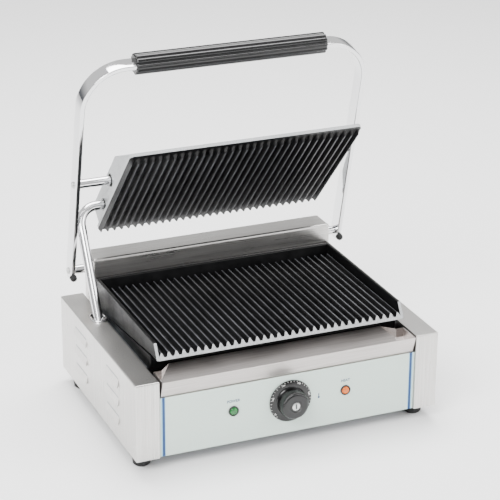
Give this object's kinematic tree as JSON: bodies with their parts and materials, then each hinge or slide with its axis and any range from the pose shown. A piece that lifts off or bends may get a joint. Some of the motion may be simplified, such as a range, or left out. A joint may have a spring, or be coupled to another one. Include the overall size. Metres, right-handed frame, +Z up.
{
  "type": "panini press",
  "caption": "Countertop contact grill, open: stainless body, ribbed cast plates, tilting upper plate on a chromed handle, drip tray and control knob.",
  "frame": {"origin": "centre of the bounding box in plan, on the surface the feet stand on", "axes": "+Z up, -Y out of the control panel at the front, +X to the right as seen from the front"},
  "size_m": [0.4348, 0.3554, 0.493],
  "materials": {
    "stainless_sheet": "brushed stainless sheet, grain along the long side",
    "galvanised_steel": "zinc coated sheet, dull spangle",
    "aluminised_steel": "aluminised sheet, heat tinted",
    "chromed_steel": "polished chrome plate",
    "zinc_steel": "bright zinc plate",
    "spring_steel": "oiled spring wire",
    "element_sheath": "annealed metal sheath, heat darkened",
    "copper_tube": "drawn copper capillary",
    "bronze_bush": "sintered bronze",
    "enamelled_cast_iron": "black matt enamel on cast iron",
    "cast_housing": "light grey sand-cast metal",
    "printed_label": "printed polycarbonate overlay",
    "black_plastic": "moulded black phenolic",
    "black_rubber": "moulded black rubber",
    "green_lens": "tinted green lens",
    "orange_lens": "tinted orange lens",
    "ceramic_block": "steatite",
    "thermostat_case": "plated thermostat case"
  },
  "bodies": {
    "base": {"base_pan": "galvanised_steel", "cable_inlet": "black_plastic", "conduit_ring": "chromed_steel", "control_label": "printed_label", "cover_screws": "zinc_steel", "cover_strips": "galvanised_steel", "foot_brackets": "galvanised_steel", "foot_screws": "zinc_steel", "front_panel": "stainless_sheet", "heat_lamp_body": "black_plastic", "heat_lamp_lens": "orange_lens", "heat_shield": "aluminised_steel", "hinge_brackets": "galvanised_steel", "hinge_bushes": "bronze_bush", "left_counterbalance_spring": "spring_steel", "left_side_casing": "stainless_sheet", "lower_clamp_studs": "zinc_steel", "lower_element_clamp": "aluminised_steel", "lower_grill_plate": "enamelled_cast_iron", "lower_heating_element": "element_sheath", "plate_support_rails": "galvanised_steel", "power_lamp_body": "black_plastic", "power_lamp_lens": "green_lens", "rear_cover": "stainless_sheet", "rear_housing": "stainless_sheet", "right_counterbalance_spring": "spring_steel", "right_side_casing": "stainless_sheet", "rubber_feet": "black_rubber", "terminal_block": "ceramic_block", "thermostat_body": "thermostat_case", "thermostat_sensor": "copper_tube"},
    "handle": {"handle_frame": "chromed_steel", "handle_grip": "black_plastic", "hinge_shaft": "chromed_steel", "spring_collars": "zinc_steel", "left_pivot_rod": "chromed_steel", "right_pivot_rod": "chromed_steel", "leg_screws": "zinc_steel", "leg_bumpers": "black_rubber"},
    "upper_plate": {"upper_grill_plate": "enamelled_cast_iron", "upper_housing": "cast_housing", "pivot_bushes": "bronze_bush", "conduit_bush": "black_plastic", "upper_heating_element": "element_sheath", "upper_element_clamp": "aluminised_steel", "upper_clamp_studs": "zinc_steel", "upper_housing_screws": "zinc_steel"},
    "conduit": {"conduit_tube": "chromed_steel"},
    "control_knob": {"control_knob": "black_plastic", "knob_insert": "chromed_steel", "thermostat_spindle": "zinc_steel"},
    "drip_tray": {"drip_tray": "stainless_sheet"}
  },
  "joints": [
    {"name": "handle_hinge", "type": "hinge", "parent": "base", "child": "handle", "pos_m": [0, 0.13484, 0.169], "axis": [1, 0, 0], "range_deg": [0, 64.9]},
    {"name": "upper_plate_pivot", "type": "hinge", "parent": "handle", "child": "upper_plate", "pos_m": [0, 0.10053, 0.30664], "axis": [1, 0, 0], "range_deg": [-18.1, 0.2]},
    {"name": "conduit_pivot", "type": "hinge", "parent": "upper_plate", "child": "conduit", "pos_m": [-0.1575, 0.1304, 0.26067], "axis": [1, 0, 0], "range_deg": [-11.4, 0.2]},
    {"name": "knob_turn", "type": "hinge", "parent": "base", "child": "control_knob", "pos_m": [0, -0.16016, 0.0666], "axis": [0, 1, 0], "range_deg": [0, 290]},
    {"name": "tray_slide", "type": "slide", "parent": "base", "child": "drip_tray", "axis": [0, -1, 0], "range_m": [0, 0.11]}
  ],
  "couplings": [
    {"joint": "upper_plate_pivot", "follows": "handle_hinge", "ratio": -0.27585},
    {"joint": "conduit_pivot", "follows": "handle_hinge", "ratio": -0.1725}
  ]
}
